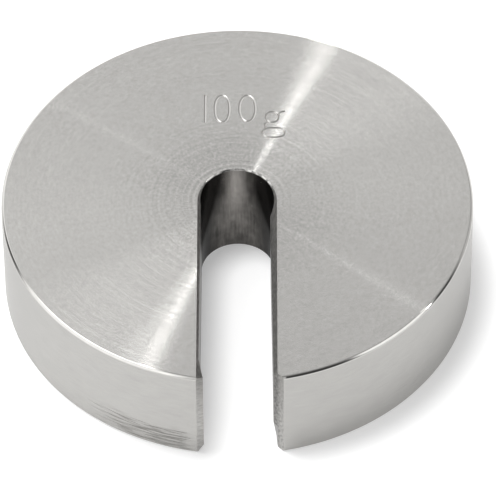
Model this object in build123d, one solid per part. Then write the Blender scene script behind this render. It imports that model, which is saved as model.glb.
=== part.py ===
from build123d import *
import math
import os

# Slotted calibration weight: one disc turned from stainless bar, with a slot milled
# in from the rim to a drilled round end, so that it slides onto a hanger's stem.
# Millimetres. +Z is up. The origin is on the disc's turning axis, in the plane of the
# bottom face, and the slot opens towards -Y.

# --- Disc ---
DISC_DIAMETER = 42.2
DISC_THICKNESS = 10.1
TOP_RIM_CHAMFER = 0.3           # 45 degrees, turned
BASE_RIM_CHAMFER = 0.12         # edge only just broken

# --- Round end of the slot ---
BORE_DIAMETER = 6.6
BORE_SETBACK = 0.4              # bore axis behind the turning axis
BORE_EDGE_CHAMFER = 0.12        # top and bottom edges, deburred

# --- Slot ---
SLOT_WIDTH = 6.25               # between the long walls
SLOT_BEVEL_ACROSS = 0.43        # bevel along both top edges, taken off the top face
SLOT_BEVEL_DROP = 0.9           # depth of that bevel below the top face
SLOT_BASE_CHAMFER = 0.08        # bottom edges, deburred

# --- Mouth of the slot, where its walls meet the rim ---
MOUTH_CHAMFER_ACROSS = 0.45     # taken off each wall, across the slot
MOUTH_CHAMFER_ALONG = 1.0       # length of the facet, along the slot

STEEL_DENSITY = 7.95e-3         # g/mm3, austenitic stainless as used for weights

# Room left beyond a face by every cutter, so that no cut ends level with a face.
CUTTER_RUN_OUT = 1.0

disc_radius = DISC_DIAMETER / 2
bore_radius = BORE_DIAMETER / 2
slot_half_width = SLOT_WIDTH / 2


def turned_disc():
    """The disc, revolved from its half section with both rim edges broken."""
    half_section = Polyline(
        (0, 0),
        (disc_radius - BASE_RIM_CHAMFER, 0),
        (disc_radius, BASE_RIM_CHAMFER),
        (disc_radius, DISC_THICKNESS - TOP_RIM_CHAMFER),
        (disc_radius - TOP_RIM_CHAMFER, DISC_THICKNESS),
        (0, DISC_THICKNESS),
        close=True,
    )
    return revolve(Plane.XZ * make_face(half_section), Axis.Z, 360)


def drilled_bore():
    """The round end's drill, with its edges countersunk at both faces."""
    run_out_radius = bore_radius + BORE_EDGE_CHAMFER + CUTTER_RUN_OUT
    half_section = Polyline(
        (0, -CUTTER_RUN_OUT),
        (run_out_radius, -CUTTER_RUN_OUT),
        (bore_radius, BORE_EDGE_CHAMFER),
        (bore_radius, DISC_THICKNESS - BORE_EDGE_CHAMFER),
        (run_out_radius, DISC_THICKNESS + CUTTER_RUN_OUT),
        (0, DISC_THICKNESS + CUTTER_RUN_OUT),
        close=True,
    )
    cutter = revolve(Plane.XZ * make_face(half_section), Axis.Z, 360)
    return Pos(0, BORE_SETBACK, 0) * cutter


def bevel_side():
    """Line of the bevel on the +X side, from its foot to the cutter's run-out."""
    run_out_across = CUTTER_RUN_OUT * SLOT_BEVEL_ACROSS / SLOT_BEVEL_DROP
    foot = (slot_half_width, DISC_THICKNESS - SLOT_BEVEL_DROP)
    head = (
        slot_half_width + SLOT_BEVEL_ACROSS + run_out_across,
        DISC_THICKNESS + CUTTER_RUN_OUT,
    )
    return [foot, head]


def slot_section():
    """Section across the slot, with the bevelled top and the broken bottom edges."""
    half_base = slot_half_width + SLOT_BASE_CHAMFER + CUTTER_RUN_OUT
    right_side = [
        (half_base, -CUTTER_RUN_OUT),
        (slot_half_width, SLOT_BASE_CHAMFER),
        *bevel_side(),
    ]
    left_side = [(-x, z) for x, z in reversed(right_side)]
    return make_face(Polyline(*right_side, *left_side, close=True))


def milled_slot():
    """The slot, milled in from the rim, and the bevel cutter's cone at its inner end."""
    straight_cut = extrude(Plane.XZ * slot_section(), disc_radius + CUTTER_RUN_OUT)
    foot, head = bevel_side()
    cone_section = Polyline((0, foot[1]), foot, head, (0, head[1]), close=True)
    cone_end = revolve(Plane.XZ * make_face(cone_section), Axis.Z, 360)
    return straight_cut + cone_end


def mouth_facets():
    """The flare that breaks the slot's two vertical corners at the rim."""
    rim_y = math.sqrt(disc_radius**2 - slot_half_width**2)
    slope = MOUTH_CHAMFER_ACROSS / MOUTH_CHAMFER_ALONG
    inner_y = rim_y - MOUTH_CHAMFER_ALONG
    outer_y = disc_radius + CUTTER_RUN_OUT
    half_outer = slot_half_width + (outer_y - inner_y) * slope
    plan = Polyline(
        (-slot_half_width, -inner_y),
        (-half_outer, -outer_y),
        (half_outer, -outer_y),
        (slot_half_width, -inner_y),
        close=True,
    )
    height = DISC_THICKNESS + 2 * CUTTER_RUN_OUT
    return Pos(0, 0, -CUTTER_RUN_OUT) * extrude(make_face(plan), height)


def weight_body():
    """The finished weight: the turned disc less the bore, the slot and its mouth."""
    return turned_disc() - drilled_bore() - milled_slot() - mouth_facets()


body = weight_body()
body.label = "weight_body"
print(f"weight_body: {body.volume:.0f} mm3, {body.volume * STEEL_DENSITY:.1f} g")

os.makedirs("parts", exist_ok=True)
export_step(body, "parts/weight_body.step")
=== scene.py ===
import math

import bmesh
import bpy
from mathutils import Matrix, Vector


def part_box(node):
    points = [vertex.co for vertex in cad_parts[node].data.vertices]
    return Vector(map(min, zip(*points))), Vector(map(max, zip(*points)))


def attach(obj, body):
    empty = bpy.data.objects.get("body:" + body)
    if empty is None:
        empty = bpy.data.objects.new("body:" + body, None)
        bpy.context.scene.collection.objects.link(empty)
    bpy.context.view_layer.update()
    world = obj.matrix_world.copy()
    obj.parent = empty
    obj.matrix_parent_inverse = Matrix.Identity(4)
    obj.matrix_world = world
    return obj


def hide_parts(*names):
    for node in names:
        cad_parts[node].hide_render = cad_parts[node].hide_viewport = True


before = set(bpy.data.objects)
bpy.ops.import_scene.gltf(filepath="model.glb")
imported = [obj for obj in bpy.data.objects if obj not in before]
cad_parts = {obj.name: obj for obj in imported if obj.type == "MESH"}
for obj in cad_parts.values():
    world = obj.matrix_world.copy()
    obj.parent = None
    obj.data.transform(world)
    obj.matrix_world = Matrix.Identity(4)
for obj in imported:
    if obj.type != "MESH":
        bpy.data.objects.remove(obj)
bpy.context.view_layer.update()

bl_info = {
    "name": "Slotted Calibration Weight",
    "version": (1, 0, 0),
    "blender": (4, 5, 0),
    "location": "3D View > Sidebar > Weight",
    "description": "Turned steel calibration weight with a stem slot, on a white table",
    "category": "Object",
}

MM = 0.001
NODE = "weight_body"
node_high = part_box(NODE)[1]
DISC_RADIUS = node_high.x
THICKNESS = node_high.z
RUN_OUT = 1.0 * MM              # how far each cutter goes past the face it leaves


# ---------------------------------------------------------------- settings

def length(name, default_mm, description):
    """A length in metres, with its default written in millimetres."""
    return bpy.props.FloatProperty(
        name=name,
        description=description,
        default=default_mm * MM,
        unit="LENGTH",
        subtype="DISTANCE",
        precision=5,
    )


def tint(name, default, description):
    """A linear colour."""
    return bpy.props.FloatVectorProperty(
        name=name,
        description=description,
        default=default,
        size=3,
        min=0.0,
        max=1.0,
        subtype="COLOR",
    )


def share(name, default, description):
    """A number from 0 to 1."""
    return bpy.props.FloatProperty(
        name=name,
        description=description,
        default=default,
        min=0.0,
        max=1.0,
        subtype="FACTOR",
    )


class WeightSizes(bpy.types.PropertyGroup):
    top_chamfer: length("Top rim chamfer", 0.20, "Chamfer turned on the top rim")
    base_chamfer: length("Base rim chamfer", 0.12, "Edge break on the bottom rim")
    rim_round: length("Rim round", 0.05, "Rounding beside each chamfer on the rim")
    edge_round: length("Edge round", 0.05, "Rounding left on every cut edge")
    bore_diameter: length("Bore diameter", 6.6, "Drilled round end of the slot")
    bore_chamfer: length("Bore chamfer", 0.12, "Edge break on the top of the bore")
    bore_setback: length("Bore setback", 0.4, "Bore axis behind the turning axis")
    bevel_opening: length("Bevel opening", 7.1, "Width of the slot's bevelled top edge")
    bevel_drop: length("Bevel drop", 1.2, "Depth reached by the bevel cutter")
    groove_width: length("Groove width", 0.22, "Width of the engraved strokes")
    groove_depth: length("Groove depth", 0.05, "Depth of the engraved strokes")


class WeightFinish(bpy.types.PropertyGroup):
    steel: tint("Steel", (0.60, 0.59, 0.57), "Reflected colour of clean turned steel")
    worn_steel: tint("Scuffed steel", (0.30, 0.29, 0.275), "Colour of the scuffs on the rim")
    bore_steel: tint("Bore steel", (0.36, 0.342, 0.322), "Colour of the drilled bore")
    face_roughness: share("Face roughness", 0.14, "Roughness of the turned faces")
    rim_roughness: share("Rim roughness", 0.22, "Roughness of the turned rim")


class StageSettings(bpy.types.PropertyGroup):
    floor_colour: tint("Floor", (0.74, 0.74, 0.74), "Colour of the table")
    mirrored_colour: tint("Mirrored floor", (0.46, 0.46, 0.46), "Colour of it in the steel")
    floor_lift: share("Floor lift", 0.345, "Brightness added to the table for the camera")
    mirrored_lift: share("Mirrored lift", 0.33, "Brightness added to the table in the steel")
    key_share: share("Key lamp", 0.031, "Share of pi on a sheet that faces the key lamp")
    kicker_share: share("Kicker", 0.009, "The same for the small lamp low on the right")
    spark_share: share("Spark", 0.0030, "The same for the thin lamp behind on the right")
    overhead_share: share("Overhead", 0.65, "The same for the lamp that only the table sees")


# ---------------------------------------------------------------- shader maths

class Value:
    """A number in a node tree, on which arithmetic adds Math nodes."""

    def __init__(self, graph, socket):
        self.graph = graph
        self.socket = socket

    def __add__(self, other):
        return self.graph.math("ADD", self, other)

    __radd__ = __add__

    def __sub__(self, other):
        return self.graph.math("SUBTRACT", self, other)

    def __rsub__(self, other):
        return self.graph.math("SUBTRACT", other, self)

    def __mul__(self, other):
        return self.graph.math("MULTIPLY", self, other)

    __rmul__ = __mul__

    def __truediv__(self, other):
        return self.graph.math("DIVIDE", self, other)


def rgba(colour, gain=1.0):
    return (*[channel * gain for channel in colour], 1.0)


BLACK = rgba((0.0, 0.0, 0.0))
FULL_TONE = 2.0                 # the highest tone that Graph.toned takes


class Graph:
    """A node tree that is filled by calls that return sockets or values."""

    def __init__(self, tree):
        self.tree = tree
        tree.nodes.clear()

    def node(self, kind, settings, inputs):
        """Adds a node, sets it, then fills or links the named or numbered inputs."""
        made = self.tree.nodes.new(kind)
        for name, value in settings.items():
            setattr(made, name, value)
        for key, value in inputs.items():
            self.feed(made.inputs[key], value)
        return made

    def feed(self, socket, value):
        if isinstance(value, Value):
            value = value.socket
        if isinstance(value, bpy.types.NodeSocket):
            self.tree.links.new(value, socket)
        else:
            socket.default_value = value

    def value(self, socket):
        return Value(self, socket)

    def math(self, operation, *terms):
        made = self.node("ShaderNodeMath", {"operation": operation}, dict(enumerate(terms)))
        return self.value(made.outputs[0])

    def smooth(self, value, start, end):
        """0 before start, 1 past end, eased between; start may be the larger."""
        span = {"Value": value, "From Min": min(start, end), "From Max": max(start, end)}
        made = self.node("ShaderNodeMapRange", {"interpolation_type": "SMOOTHSTEP"}, span)
        rise = self.value(made.outputs[0])
        return rise if start < end else 1 - rise

    def place(self):
        """Object coordinates in millimetres: x, y, z."""
        made = self.node("ShaderNodeTexCoord", {}, {})
        split = self.node("ShaderNodeSeparateXYZ", {}, {0: made.outputs["Object"]})
        return [self.value(split.outputs[i]) / MM for i in range(3)]

    def vector(self, x, y, z):
        return self.node("ShaderNodeCombineXYZ", {}, {0: x, 1: y, 2: z}).outputs[0]

    def noise(self, x, y, z, scale=1.0, detail=2.0):
        """Noise at a place, from 0 to 1."""
        inputs = {"Vector": self.vector(x, y, z), "Scale": scale, "Detail": detail}
        return self.value(self.node("ShaderNodeTexNoise", {}, inputs).outputs[0])

    def mottle(self, x, y, z, scale=1.0, detail=2.0):
        """Noise at a place, centred on 0."""
        return self.noise(x, y, z, scale, detail) - 0.5

    def rings(self, distance, per_mm, detail=2.0):
        """Noise along one distance, centred on 0: marks left by a turning tool."""
        inputs = {"W": distance * per_mm, "Scale": 1.0, "Detail": detail}
        made = self.node("ShaderNodeTexNoise", {"noise_dimensions": "1D"}, inputs)
        return self.value(made.outputs[0]) - 0.5

    def mix(self, factor, first, second):
        """Colour between first and second."""
        made = self.node("ShaderNodeMix", {"data_type": "RGBA"}, {0: factor, 6: first, 7: second})
        return made.outputs[2]

    def toned(self, colour, tone):
        """The colour times a varying tone, from 0 up to FULL_TONE."""
        return self.mix(tone / FULL_TONE, BLACK, rgba(colour, FULL_TONE))

    def tilted_normal(self, direction, amount):
        """The surface normal leant along a direction by a varying amount."""
        geometry = self.node("ShaderNodeNewGeometry", {}, {})
        lean = self.node("ShaderNodeVectorMath", {"operation": "SCALE"},
                         {0: direction, "Scale": amount})
        added = self.node("ShaderNodeVectorMath", {"operation": "ADD"},
                          {0: geometry.outputs["Normal"], 1: lean.outputs[0]})
        made = self.node("ShaderNodeVectorMath", {"operation": "NORMALIZE"},
                         {0: added.outputs[0]})
        return made.outputs[0]


def new_material(name):
    material = bpy.data.materials.new(name)
    material.use_nodes = True
    return material, Graph(material.node_tree)


QUARTER_TURN = 0.25             # lays the stretched highlight across the turning rings


def finish_metal(graph, colour, roughness, anisotropic, normal=None):
    """The metal shader that every steel finish ends in."""
    inputs = {
        "Base Color": colour,
        "Metallic": 1.0,
        "Roughness": roughness,
        "Anisotropic": anisotropic,
        "Anisotropic Rotation": QUARTER_TURN,
    }
    if normal is not None:
        inputs["Normal"] = normal
    shader = graph.node("ShaderNodeBsdfPrincipled", {}, inputs)
    graph.node("ShaderNodeOutputMaterial", {}, {"Surface": shader.outputs[0]})


# ---------------------------------------------------------------- steel finishes
#
# Distances are in millimetres. A zone is a pair for Graph.smooth: where the effect
# begins and where it is full. Weights say how far a mark changes the tone, where 1 is
# clean steel, or leans the surface.

FACE_RINGS = 3.5                # turning marks per mm, seen as rings
FACE_HAIR = 260.0               # finest marks per mm, which only widen the highlight
FACE_ARCS = 30.0                # how often a ring breaks up on its way round
COARSE_CUT = (12.0, 4.0)        # radii: the cut coarsens towards the bore


def turned_face_material(finish):
    """Faced in the lathe: fine rings about the axis, coarser towards the centre."""
    material, graph = new_material("turned_face")
    x, y, z = graph.place()
    radius = graph.math("SQRT", x * x + y * y)
    round_x, round_y = x / radius, y / radius
    coarse = graph.smooth(radius, *COARSE_CUT)
    rings = graph.rings(radius, FACE_RINGS)
    hair = graph.rings(radius, FACE_HAIR, detail=0.0)
    arcs = graph.mottle(radius * FACE_RINGS, round_x * FACE_ARCS, round_y * FACE_ARCS, detail=1.0)
    cloud = graph.mottle(x, y, z, scale=0.25, detail=3.0)
    speck = graph.mottle(x, y, z, scale=5.0)
    tone = (1 + arcs * (coarse * 0.28 + 0.14) + rings * (coarse * 0.18 + 0.015)
            + speck * 0.12 + cloud * 0.06 - coarse * 0.10)
    tilt = rings * (coarse * 0.08 + 0.015) + hair * 0.80 + arcs * 0.004
    outward = graph.vector(round_x, round_y, 0.0)
    finish_metal(graph, graph.toned(finish.steel, tone), finish.face_roughness + cloud * 0.03,
                 1.0, graph.tilted_normal(outward, tilt))
    return material


RIM_RINGS = 8.0                 # turning marks per mm of height
SCUFF_LEFT = (-16.0, -9.0)      # zones of the scuffs, in x
SCUFF_RIGHT = (-3.2, -5.0)
SCUFF_FRONT = (0.0, -5.0)       # in y
SCUFF_TOP = (3.3, 2.2)          # in z
SCUFF_FOOT = (0.0, 0.4)
SCUFF_STROKES = (0.58, 0.80)    # the part of the noise that shows as strokes


def turned_rim_material(finish):
    """Turned cylinder: rings run round it, and knocks have scuffed the foot at the front."""
    material, graph = new_material("turned_rim")
    x, y, z = graph.place()
    round_x, round_y = x / (DISC_RADIUS / MM), y / (DISC_RADIUS / MM)
    cloud = graph.mottle(x, y, z * 1.5, scale=0.5, detail=4.0)
    drag = graph.mottle(round_x * 16.0, round_y * 16.0, z * 7.0, detail=3.0)
    clean = graph.toned(finish.steel, 1.0 + cloud * 0.14 + drag * 0.15)
    strokes = graph.noise(round_x * 9.0, round_y * 9.0, z * 8.0, detail=5.0)
    reach = (graph.smooth(x, *SCUFF_LEFT) * graph.smooth(x, *SCUFF_RIGHT)
             * graph.smooth(z, *SCUFF_TOP) * graph.smooth(z, *SCUFF_FOOT)
             * graph.smooth(y, *SCUFF_FRONT))
    scuffed = graph.smooth(strokes + reach * 0.20, *SCUFF_STROKES) * reach * 0.9
    colour = graph.mix(scuffed, clean, rgba(finish.worn_steel))
    roughness = finish.rim_roughness + cloud * 0.05 + scuffed * 0.15
    tilt = graph.rings(z, RIM_RINGS) * 0.08
    upward = graph.vector(0.0, 0.0, 1.0)
    finish_metal(graph, colour, roughness, 1.0, graph.tilted_normal(upward, tilt))
    return material


def chamfer_material(finish):
    """Chamfer on the top rim, cut last and polished; its colour is raised above clean steel as a
    painted highlight.
    """
    material, graph = new_material("turned_chamfer")
    cloud = graph.mottle(*graph.place(), scale=1.2, detail=3.0)
    # The tone of 1.30 lifts the colour above clean steel: a painted highlight.
    finish_metal(graph, graph.toned(finish.steel, 1.30 + cloud * 0.2), 0.06 + cloud * 0.03, 0.5)
    return material


BORE_FOOT_SHADE = (4.5, 0.5)          # in z: painted shade, darker towards the wall's foot
BORE_PAINTED_REFLECTION = (1.3, 0.2)        # distances from the middle of the back: a pale stripe of painted reflection
BORE_PAINTED_REFLECTION_UP = (2.0, 9.0)     # in z: the painted reflection grows stronger upwards
BORE_SIDE_SHADE = (1.3, 3.0)         # the same distances: painted shade, darker towards the sides


def bore_material(finish):
    """Drilled wall, darkened and streaked; painted reflection at the back, painted shade at sides
    and foot.
    """
    material, graph = new_material("drilled_bore")
    x, y, z = graph.place()
    cloud = graph.mottle(x, y, z * 0.7, scale=1.1, detail=4.0)
    drawn = graph.mottle(x * 5.0, y * 5.0, z * 0.5, detail=3.0)
    aside = graph.math("ABSOLUTE", x + 0.05)
    # Painted reflection: a pale stripe down the middle of the back, stronger upwards.
    painted_reflection = graph.smooth(aside, *BORE_PAINTED_REFLECTION) * graph.smooth(z, *BORE_PAINTED_REFLECTION_UP)
    # Painted shade, darker towards the foot.
    foot = graph.smooth(z, *BORE_FOOT_SHADE)
    tone = 0.56 + cloud * 0.8 + drawn * 0.5 - foot * 0.10 + painted_reflection * 0.45
    # Painted shade: the wall darkens towards the sides.
    tone = tone * (1 - graph.smooth(aside, *BORE_SIDE_SHADE) * 0.8)
    finish_metal(graph, graph.toned(finish.bore_steel, tone), 0.26 + cloud * 0.08, 0.8)
    return material


def slot_material(finish):
    """Milled walls, dull and darkened, with faint cutter lines along the slot."""
    material, graph = new_material("milled_slot")
    x, y, z = graph.place()
    grain = graph.noise(x * 2.0, y * 0.3, z * 4.0, scale=1.6, detail=4.0)
    colour = graph.mix(grain, rgba(finish.steel, 0.42), rgba(finish.steel, 0.68))
    finish_metal(graph, colour, 0.35 + (grain - 0.5) * 0.15, 0.0)
    return material


EDGE_CHATTER = (0.36, 0.56)     # the part of the noise between dull and bright


def edge_material(finish):
    """Edge break on the bore: chattered metal, its bright parts raised above clean steel as a
    painted highlight.
    """
    material, graph = new_material("broken_edge")
    chatter = graph.noise(*graph.place(), scale=2.2, detail=3.0)
    bright = graph.smooth(chatter, *EDGE_CHATTER)
    # The bright end, above clean steel, is a painted highlight; the chatter between is the
    # metal's own.
    colour = graph.mix(bright, rgba(finish.steel, 0.5), rgba(finish.steel, 1.2))
    finish_metal(graph, colour, 0.25 + (chatter - 0.5) * 0.2, 0.0)
    return material


BEVEL_STREAKS = (0.35, 0.68)    # the part of the noise between dull and bright


def bevel_material(finish):
    """Bevelled edges of the slot: a coarse cut with bright and dull streaks along it."""
    material, graph = new_material("milled_bevel")
    x, y, z = graph.place()
    grain = graph.noise(x * 6.0, y * 1.4, z * 4.0, scale=1.6, detail=4.0)
    bright = graph.smooth(grain, *BEVEL_STREAKS)
    colour = graph.mix(bright, rgba(finish.steel, 0.60), rgba(finish.steel, 0.95))
    finish_metal(graph, colour, 0.50 + (grain - 0.5) * 0.2, 0.0)
    return material


MOUTH_RIGHT = (0.0, 0.1)        # zones in x: which side of the slot it is
MOUTH_INNER = (3.9, 3.3)        # the inner part of the right facet, torn more
MOUTH_DARK = (3.78, 3.45)       # and darker
MOUTH_TORN = (0.42, 0.70)       # the part of the noise that shows as torn


def mouth_material(finish):
    """Filed facets at the slot's mouth: the left one hatched aslant, the right one torn."""
    material, graph = new_material("filed_mouth")
    x, y, z = graph.place()
    hatch = graph.mottle((z + y) * 6.0, (z - y) * 0.6, 0.0)
    torn = graph.noise(x * 5.0, y * 5.0, z * 3.0, detail=6.0)
    right = graph.smooth(x, *MOUTH_RIGHT)
    inner = graph.smooth(x, *MOUTH_INNER) * right
    dark = graph.smooth(x, *MOUTH_DARK) * right
    tears = graph.smooth(torn + inner * 0.10, *MOUTH_TORN) * right
    tone = 0.94 + hatch * (1.0 - right * 0.7) - dark * 0.20 - tears * 0.30
    finish_metal(graph, graph.toned(finish.steel, tone), 0.42 + (torn - 0.5) * 0.3, 0.0)
    return material


def groove_material(finish):
    """Engraved strokes: cut metal, raised above clean steel as a painted highlight."""
    material, graph = new_material("engraved_groove")
    grain = graph.noise(*graph.place(), scale=9.0, detail=3.0)
    # Both ends lie at or above clean steel: a painted highlight on the strokes, with grain
    # between.
    colour = graph.mix(grain, rgba(finish.steel, 1.0), rgba(finish.steel, 1.25))
    finish_metal(graph, colour, 0.33 + (grain - 0.5) * 0.1, 0.0)
    return material


# ---------------------------------------------------------------- modelling

LEVEL_TOLERANCE = 1e-8              # metres, for the open edges at a profile's two ends
MERGE_DISTANCE = 1e-7
DISC_STEPS = 360                    # facets round the disc
BORE_STEPS = 120                    # and round the bore and the bevel's cone
SHARP_ANGLE = math.radians(25)      # edges that bend more than this are rounded
SMOOTH_ANGLE = math.radians(24)     # edges that bend less than this are shaded smooth
BROAD_FACE = 4 * MM * MM            # milled faces larger than this are planes
NORMAL_WEIGHT = 90                  # how far broad faces rule the shading beside them

# Upward part of a face's normal, by which its surface is told.
FACED_LEVEL = 0.999                 # at least this on the faced planes
RIM_LEVEL = 0.99                    # at most this, up or down, on the rim
CHAMFER_LEVEL = 0.1                 # at least this on the top chamfer
BORE_EDGE_LEVEL = 0.3               # and on the break at the bore's top edge


def deselect_all():
    bpy.ops.object.select_all(action="DESELECT")


def active(thing):
    """Selects the thing alone and makes it active."""
    deselect_all()
    thing.select_set(True)
    bpy.context.view_layer.objects.active = thing


def in_edit_mode(thing, select="DESELECT"):
    """Enters edit mode on the thing with nothing or all of it selected."""
    active(thing)
    bpy.ops.object.mode_set(mode="EDIT")
    bpy.ops.mesh.select_all(action=select)


def outline(points, closed):
    """A run of edges through the points, drawn by extruding one vertex."""
    deselect_all()
    bpy.ops.mesh.primitive_plane_add(size=MM, location=points[0])
    bpy.ops.object.mode_set(mode="EDIT")
    bpy.ops.mesh.select_all(action="SELECT")
    bpy.ops.mesh.merge(type="CENTER")
    for start, end in zip(points, points[1:]):
        step = Vector(end) - Vector(start)
        bpy.ops.mesh.extrude_vertices_move(TRANSFORM_OT_translate={"value": step})
    if closed:
        bpy.ops.mesh.select_all(action="SELECT")
        bpy.ops.mesh.edge_face_add()
    bpy.ops.object.mode_set(mode="OBJECT")
    drawn = bpy.context.object
    bpy.ops.object.transform_apply(location=True, rotation=True, scale=True)
    return drawn


def tidy_normals(thing):
    """Joins doubled points and turns every face outwards."""
    in_edit_mode(thing, "SELECT")
    bpy.ops.mesh.remove_doubles(threshold=MERGE_DISTANCE)
    bpy.ops.mesh.normals_make_consistent(inside=False)
    bpy.ops.object.mode_set(mode="OBJECT")


def swept(section, step):
    """A solid swept in one step from a closed section."""
    solid = outline(section, closed=True)
    in_edit_mode(solid, "SELECT")
    bpy.ops.mesh.extrude_region_move(TRANSFORM_OT_translate={"value": step})
    bpy.ops.object.mode_set(mode="OBJECT")
    tidy_normals(solid)
    return solid


def prism(plan, low, high):
    """A solid between two heights, from its plan in millimetres."""
    return swept([(x * MM, y * MM, low) for x, y in plan], (0, 0, high - low))


def lathe(profile, centre, steps):
    """A closed solid turned about Z from a profile of radius and height points."""
    cx, cy = centre
    solid = outline([(cx + r, cy, z) for r, z in profile], closed=False)
    in_edit_mode(solid, "SELECT")
    bpy.ops.mesh.spin(steps=steps, angle=2 * math.pi, center=(cx, cy, 0), axis=(0, 0, 1))
    bpy.ops.object.mode_set(mode="OBJECT")
    tidy_normals(solid)
    for height in (profile[0][1], profile[-1][1]):
        in_edit_mode(solid)
        shape = bmesh.from_edit_mesh(solid.data)
        for edge in shape.edges:
            level = all(abs(v.co.z - height) < LEVEL_TOLERANCE for v in edge.verts)
            if edge.is_boundary and level:
                edge.select_set(True)
        bmesh.update_edit_mesh(solid.data)
        bpy.ops.mesh.edge_face_add()
        bpy.ops.object.mode_set(mode="OBJECT")
    tidy_normals(solid)
    return solid


def apply_modifier(thing, kind, settings):
    """Adds a modifier, sets it and applies it at once."""
    active(thing)
    modifier = thing.modifiers.new(kind.lower(), kind)
    for name, value in settings.items():
        setattr(modifier, name, value)
    bpy.ops.object.modifier_apply(modifier=modifier.name)


def cut(solid, cutter, material):
    """Takes the cutter out of the solid; the cut faces take the cutter's finish."""
    cutter.data.materials.clear()
    cutter.data.materials.append(material)
    settings = {
        "operation": "DIFFERENCE",
        "solver": "EXACT",
        "object": cutter,
        "material_mode": "TRANSFER",
    }
    apply_modifier(solid, "BOOLEAN", settings)
    bpy.data.objects.remove(cutter)


def refinish(body, old, new, belongs):
    """Gives the faces of one finish that pass the test another finish."""
    materials = body.data.materials
    if new.name not in materials:
        materials.append(new)
    old_index, new_index = materials.find(old.name), materials.find(new.name)
    for polygon in body.data.polygons:
        if polygon.material_index == old_index and belongs(polygon):
            polygon.material_index = new_index


def round_edges(solid, width, segments):
    """Rounds every edge that is sharper than SHARP_ANGLE."""
    settings = {
        "width": width,
        "segments": segments,
        "limit_method": "ANGLE",
        "angle_limit": SHARP_ANGLE,
        "use_clamp_overlap": True,
    }
    apply_modifier(solid, "BEVEL", settings)


def shade(body, round_finish):
    """Smooth where a face is part of a round, and flat on the ground and milled planes."""
    active(body)
    bpy.ops.object.shade_smooth_by_angle(angle=SMOOTH_ANGLE)
    round_index = body.data.materials.find(round_finish.name)
    for polygon in body.data.polygons:
        faced = abs(polygon.normal.z) > FACED_LEVEL
        milled = polygon.area > BROAD_FACE and polygon.material_index != round_index
        if faced or milled:
            polygon.use_smooth = False
    settings = {"mode": "FACE_AREA", "weight": NORMAL_WEIGHT, "keep_sharp": True}
    apply_modifier(body, "WEIGHTED_NORMAL", settings)


def turned_disc(sizes, face_finish, rim_finish, chamfer_finish):
    """The bar turned to size, with both rim edges chamfered."""
    profile = [
        (DISC_RADIUS - sizes.base_chamfer, 0.0),
        (DISC_RADIUS, sizes.base_chamfer),
        (DISC_RADIUS, THICKNESS - sizes.top_chamfer),
        (DISC_RADIUS - sizes.top_chamfer, THICKNESS),
    ]
    disc = lathe(profile, (0.0, 0.0), DISC_STEPS)
    round_edges(disc, sizes.rim_round, segments=3)
    disc.data.materials.append(face_finish)
    refinish(disc, face_finish, rim_finish, lambda face: abs(face.normal.z) <= RIM_LEVEL)
    refinish(disc, rim_finish, chamfer_finish, lambda face: face.normal.z > CHAMFER_LEVEL)
    return disc


def bore_cutter(sizes):
    """The round end's drill, spread at the top to break the bore's edge."""
    radius = sizes.bore_diameter / 2
    brink = sizes.bore_chamfer
    profile = [
        (radius, -RUN_OUT),
        (radius, THICKNESS - brink),
        (radius + brink + RUN_OUT, THICKNESS + RUN_OUT),
    ]
    return lathe(profile, (0.0, sizes.bore_setback), BORE_STEPS)


# Plan of the milled slot, in millimetres from the disc's axis: each wall from the bore
# out to the mouth, then the filed facet, carried on past the rim. The mouth was broken
# by hand, so the two sides differ a little.
LEFT_WALL = [(-3.28, 0.0), (-3.36, -18.3), (-2.98, -19.85), (-3.60, -20.85), (-4.40, -22.2)]
RIGHT_WALL = [(2.94, 0.0), (3.20, -19.75), (4.12, -20.75), (5.45, -22.2)]
MOUTH_START = -19.0 * MM        # in y: what the slot's cutter leaves beyond it is filed

# Plan of the scar low on the right wall, where a burr came away with the steel.
SCAR = [
    (2.50, -17.3), (3.17, -17.3), (3.44, -18.85),
    (3.50, -19.75), (3.58, -20.4), (2.50, -20.4),
]
SCAR_HEIGHT = 2.8 * MM


def slot_cutter():
    """The end mill's path, right through the disc and out past the rim."""
    return prism(RIGHT_WALL + LEFT_WALL[::-1], -RUN_OUT, THICKNESS + RUN_OUT)


def scar_cutter():
    """What is missing from the right wall, up from the bottom face."""
    return prism(SCAR, -RUN_OUT, SCAR_HEIGHT)


BEVEL_SLOPE = 0.6               # across the slot for each step down


def bevel_cutters(sizes):
    """The V-cutter's path: a wedge along the slot, and a cone at its inner end."""
    half_head = sizes.bevel_opening / 2 + RUN_OUT * BEVEL_SLOPE
    half_foot = sizes.bevel_opening / 2 - sizes.bevel_drop * BEVEL_SLOPE
    foot_z = THICKNESS - sizes.bevel_drop
    head_z = THICKNESS + RUN_OUT
    section = [(-half_foot, foot_z), (half_foot, foot_z), (half_head, head_z),
               (-half_head, head_z)]
    wedge = swept([(x, 0.0, z) for x, z in section], (0, -(DISC_RADIUS + RUN_OUT), 0))
    cone = lathe([(half_foot, foot_z), (half_head, head_z)], (0.0, 0.0), BORE_STEPS)
    return wedge, cone


GROOVE_CLEARANCE = 0.003 * MM   # the V-cutter's middle stands this far above the face
GROOVE_SPREAD = 1.06            # and is this much wider, to leave the width at the face


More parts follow.
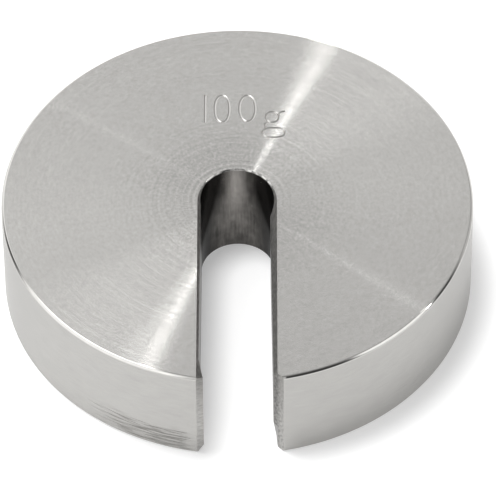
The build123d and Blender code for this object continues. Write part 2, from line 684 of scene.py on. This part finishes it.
def stroke_cutter(sizes, draw, depth_gain):
    """A V-groove cutter along a curve on the top face, drawn by the given function."""
    deselect_all()
    draw()
    curve = bpy.context.object
    curve.data.dimensions = "3D"
    curve.data.fill_mode = "FULL"
    curve.data.resolution_u = 12
    curve.data.bevel_depth = sizes.groove_width / 2 * GROOVE_SPREAD
    curve.data.bevel_resolution = 0
    curve.data.use_fill_caps = True
    bpy.ops.object.convert(target="MESH")
    cutter = bpy.context.object
    bpy.ops.object.transform_apply(location=True, rotation=True, scale=True)
    flatten = sizes.groove_depth * depth_gain / (sizes.groove_width / 2)
    in_edit_mode(cutter, "SELECT")
    bpy.ops.transform.resize(value=(1.0, 1.0, flatten), center_override=(0, 0, 0))
    bpy.ops.transform.translate(value=(0.0, 0.0, THICKNESS + GROOVE_CLEARANCE))
    bpy.ops.object.mode_set(mode="OBJECT")
    tidy_normals(cutter)
    return cutter


def draw_loop(centre, half_width, half_height, squareness):
    """A closed loop, an ellipse at squareness 1 and boxier above it."""
    bpy.ops.curve.primitive_bezier_circle_add(radius=MM, location=(0, 0, 0))
    curve = bpy.context.object
    for point in curve.data.splines[0].bezier_points:
        point.handle_left_type = "FREE"
        point.handle_right_type = "FREE"
        point.handle_left = point.co + (point.handle_left - point.co) * squareness
        point.handle_right = point.co + (point.handle_right - point.co) * squareness
    bpy.ops.object.mode_set(mode="EDIT")
    bpy.ops.curve.select_all(action="SELECT")
    bpy.ops.transform.resize(value=(half_width, half_height, 1.0), center_override=(0, 0, 0))
    bpy.ops.transform.translate(value=(centre[0] * MM, centre[1] * MM, 0.0))
    bpy.ops.object.mode_set(mode="OBJECT")


def draw_line(points):
    """A smooth open stroke through the points."""
    bpy.ops.curve.primitive_bezier_curve_add(radius=1.0, location=(0, 0, 0))
    curve = bpy.context.object
    spline = curve.data.splines[0]
    spline.bezier_points.add(len(points) - 2)
    for point, (x, y) in zip(spline.bezier_points, points):
        point.co = (x * MM, y * MM, 0.0)
        point.handle_left_type = "AUTO"
        point.handle_right_type = "AUTO"


# The mark 100g, in millimetres from the disc's axis: the figures, and then the letter
# with its bowl, ear, link and loop, which is cut deeper. A loop is drawn from its
# centre, half width, half height and squareness.
FIGURES = [
    lambda: draw_line([(-2.93, 12.85), (-2.93, 11.2), (-2.93, 9.45)]),
    lambda: draw_loop((-1.39, 11.14), 0.66, 1.64, 1.12),
    lambda: draw_loop((0.90, 11.17), 0.72, 1.59, 1.05),
]
LETTER = [
    lambda: draw_loop((3.17, 10.12), 0.59, 0.65, 1.1),
    lambda: draw_line([(3.66, 10.45), (3.98, 10.72), (4.31, 10.80)]),
    lambda: draw_line([(2.78, 9.62), (2.50, 9.25), (2.62, 8.76)]),
    lambda: draw_loop((3.29, 8.21), 1.02, 0.587, 1.25),
]
FIGURE_DEPTH = 1.0              # in groove depths
LETTER_DEPTH = 1.5


class WEIGHT_OT_add_weight(bpy.types.Operator):
    """Model the slotted weight and give it its steel finishes"""

    bl_idname = "weight.add_weight"
    bl_label = "Slotted Weight"

    def execute(self, context):
        sizes = context.scene.weight_sizes
        finish = context.scene.weight_finish
        rim_finish = turned_rim_material(finish)
        bore_finish, slot_finish = bore_material(finish), slot_material(finish)
        bevel_finish, groove_finish = bevel_material(finish), groove_material(finish)
        body = turned_disc(sizes, turned_face_material(finish), rim_finish,
                           chamfer_material(finish))
        cut(body, bore_cutter(sizes), bore_finish)
        refinish(body, bore_finish, edge_material(finish),
                 lambda face: face.normal.z > BORE_EDGE_LEVEL)
        cut(body, slot_cutter(), slot_finish)
        refinish(body, slot_finish, mouth_material(finish),
                 lambda face: face.center.y < MOUTH_START)
        cut(body, scar_cutter(), slot_finish)
        for cutter in bevel_cutters(sizes):
            cut(body, cutter, bevel_finish)
        round_edges(body, sizes.edge_round, segments=2)
        for draw in FIGURES:
            cut(body, stroke_cutter(sizes, draw, FIGURE_DEPTH), groove_finish)
        for draw in LETTER:
            cut(body, stroke_cutter(sizes, draw, LETTER_DEPTH), groove_finish)
        shade(body, rim_finish)
        body.data.use_auto_texspace = False
        body.data.texspace_location = (0.0, 0.0, THICKNESS / 2)
        body.data.texspace_size = (DISC_RADIUS, DISC_RADIUS, THICKNESS / 2)
        body.name = "slotted_weight"
        body.data.name = "slotted_weight"
        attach(body, "root")
        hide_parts(NODE)
        return {"FINISHED"}


# ---------------------------------------------------------------- stage

CAMERA_AZIMUTH = 0.38            # degrees round from straight in front
CAMERA_ELEVATION = 48.77
CAMERA_ROLL = -0.49
CAMERA_DISTANCE = 23.97          # in disc radii
CAMERA_SHIFT_RIGHT = 0.0529      # in disc radii, across the view
CAMERA_SHIFT_UP = -0.0525
CAMERA_LENS = 404.4              # millimetres
CAMERA_SENSOR = 36.0


def stand(name, data, place, right, up, back):
    """Puts a camera or a lamp at a place, with its own axes along three directions."""
    thing = bpy.data.objects.new(name, data)
    axes = Matrix((right, up, back)).transposed().to_4x4()
    thing.matrix_world = Matrix.Translation(place) @ axes
    bpy.context.scene.collection.objects.link(thing)
    return thing


def add_camera():
    """A long lens that looks down on the weight from the front, a little off level."""
    azimuth, elevation = math.radians(CAMERA_AZIMUTH), math.radians(CAMERA_ELEVATION)
    back = Vector((math.sin(azimuth) * math.cos(elevation),
                   -math.cos(azimuth) * math.cos(elevation),
                   math.sin(elevation)))
    level = Vector((math.cos(azimuth), math.sin(azimuth), 0.0))
    upright = back.cross(level)
    roll = Matrix.Rotation(math.radians(CAMERA_ROLL), 3, back)
    right, up = roll @ level, roll @ upright
    centre = Vector((0.0, 0.0, THICKNESS / 2))
    offset = back * CAMERA_DISTANCE + right * CAMERA_SHIFT_RIGHT + up * CAMERA_SHIFT_UP
    place = centre + offset * DISC_RADIUS
    data = bpy.data.cameras.new("camera")
    data.lens = CAMERA_LENS
    data.sensor_width = CAMERA_SENSOR
    bpy.context.scene.camera = stand("camera", data, place, right, up, back)


FLOOR_SIZE = 4.0                 # metres


def add_floor(settings):
    """The white table, which shows lighter to the camera and darker in the steel."""
    deselect_all()
    bpy.ops.mesh.primitive_plane_add(size=FLOOR_SIZE, location=(0, 0, 0))
    floor = bpy.context.object
    floor.name = "table"
    material, graph = new_material("white_table")
    rays = graph.node("ShaderNodeLightPath", {}, {})
    mirrored = graph.math("MAXIMUM", graph.value(rays.outputs["Is Glossy Ray"]),
                          graph.value(rays.outputs["Is Transmission Ray"]))
    seen = graph.value(rays.outputs["Is Camera Ray"])
    glow = seen * settings.floor_lift + mirrored * settings.mirrored_lift
    colour = graph.mix(seen, rgba(settings.mirrored_colour), rgba(settings.floor_colour))
    matt = graph.node("ShaderNodeBsdfDiffuse", {}, {"Color": colour})
    lift = graph.node("ShaderNodeEmission", {}, {"Strength": glow})
    both = graph.node("ShaderNodeAddShader", {}, {0: matt.outputs[0], 1: lift.outputs[0]})
    graph.node("ShaderNodeOutputMaterial", {}, {"Surface": both.outputs[0]})
    floor.data.materials.append(material)


# Soft areas of the studio's surroundings: direction towards each, half angle and edge
# softness in degrees, and the brightness that it adds or, below 0, holds back.
SURROUNDINGS = [
    ((-0.82, -0.35, 0.46), 35.0, 7.0, 0.82),    # large box on the left
    ((-0.45, 0.16, 0.88), 14.0, 4.0, 2.70),     # box overhead, beside the key
    ((-0.30, 0.90, 0.32), 35.0, 11.0, 0.75),    # pale wall behind
    ((-0.15, -0.83, 0.53), 19.0, 6.0, 0.27),    # reflector in front
    ((0.82, -0.24, 0.52), 17.0, 4.0, 0.80),     # panel on the right
    ((0.45, -0.68, 0.57), 14.0, 6.0, -0.29),    # dark gap beside it
    ((-0.81, 0.49, 0.31), 13.0, 4.0, -0.28),    # dark edge of the left box
    ((0.93, 0.19, 0.31), 10.0, 4.0, -0.26),     # dark edge of the panel
    ((0.82, 0.55, 0.10), 20.0, 5.0, 0.20),      # pale wall behind the panel
]
BASE_BRIGHTNESS = 0.35
WHITE = rgba((1.0, 1.0, 1.0))


def add_world():
    """The surroundings that the steel mirrors, and plain white for the camera."""
    world = bpy.data.worlds.new("studio")
    bpy.context.scene.world = world
    world.use_nodes = True
    graph = Graph(world.node_tree)
    ray = graph.node("ShaderNodeTexCoord", {}, {}).outputs["Generated"]
    brightness = BASE_BRIGHTNESS
    for direction, half_angle, softness, gain in SURROUNDINGS:
        towards = Vector(direction).normalized()
        dot = graph.node("ShaderNodeVectorMath", {"operation": "DOT_PRODUCT"},
                         {0: ray, 1: towards}).outputs["Value"]
        inner = math.cos(math.radians(half_angle - softness))
        outer = math.cos(math.radians(half_angle + softness))
        brightness = graph.smooth(graph.value(dot), outer, inner) * gain + brightness
    rays = graph.node("ShaderNodeLightPath", {}, {})
    camera = graph.value(rays.outputs["Is Camera Ray"])
    strength = brightness * (1 - camera) + camera
    back = graph.node("ShaderNodeBackground", {}, {"Color": WHITE, "Strength": strength})
    graph.node("ShaderNodeOutputWorld", {}, {"Surface": back.outputs[0]})


def add_lamp(name, direction, along, size, share_of_pi):
    """A flat lamp a metre away that faces the weight, stretched along a direction.

    Size is across and along, in metres. A sheet that faces it receives the share of pi.
    """
    towards = Vector(direction).normalized()
    level = Vector(along)
    level = (level - towards * level.dot(towards)).normalized()
    data = bpy.data.lights.new(name, "AREA")
    data.shape = "ELLIPSE"
    data.size, data.size_y = size
    data.energy = share_of_pi * math.pi ** 2
    return stand(name, data, towards, level.cross(towards), level, towards)


LOW_KEY_GAIN = 0.2               # against the key


class WEIGHT_OT_add_stage(bpy.types.Operator):
    """Lay out the white table, the studio light and the camera"""

    bl_idname = "weight.add_stage"
    bl_label = "Table, Light and Camera"

    def execute(self, context):
        settings = context.scene.weight_stage
        add_floor(settings)
        add_world()
        add_lamp("key", (-0.223, 0.162, 0.961), (-0.382, -0.922, 0.067), (0.03, 0.63),
                 settings.key_share)
        add_lamp("low_key", (0.098, 0.901, 0.423), (0.174, 0.403, -0.899), (0.03, 0.28),
                 settings.key_share * LOW_KEY_GAIN)
        add_lamp("kicker", (0.918, -0.022, 0.395), (0.168, 0.904, -0.389), (0.022, 0.05),
                 settings.kicker_share)
        add_lamp("spark", (0.355, 0.388, 0.851), (0.786, -0.613, -0.05), (0.012, 0.30),
                 settings.spark_share)
        overhead = add_lamp("overhead", (-0.15, 0.12, 0.981), (0.0, 1.0, 0.0), (0.31, 0.31),
                            settings.overhead_share)
        overhead.visible_glossy = False
        add_camera()
        context.scene.view_settings.view_transform = "Standard"
        return {"FINISHED"}


class WEIGHT_PT_panel(bpy.types.Panel):
    """Sidebar panel with the weight's operators"""

    bl_idname = "WEIGHT_PT_panel"
    bl_label = "Slotted Weight"
    bl_space_type = "VIEW_3D"
    bl_region_type = "UI"
    bl_category = "Weight"

    def draw(self, context):
        for operator in OPERATORS:
            self.layout.operator(operator.bl_idname)


OPERATORS = (WEIGHT_OT_add_weight, WEIGHT_OT_add_stage)
SETTINGS = {
    "weight_sizes": WeightSizes,
    "weight_finish": WeightFinish,
    "weight_stage": StageSettings,
}
CLASSES = (*SETTINGS.values(), *OPERATORS, WEIGHT_PT_panel)


def register():
    for cls in CLASSES:
        bpy.utils.register_class(cls)
    for name, cls in SETTINGS.items():
        setattr(bpy.types.Scene, name, bpy.props.PointerProperty(type=cls))


def unregister():
    for name in SETTINGS:
        delattr(bpy.types.Scene, name)
    for cls in reversed(CLASSES):
        bpy.utils.unregister_class(cls)


def main():
    register()
    bpy.ops.weight.add_weight()
    bpy.ops.weight.add_stage()


if __name__ == "__main__":
    main()
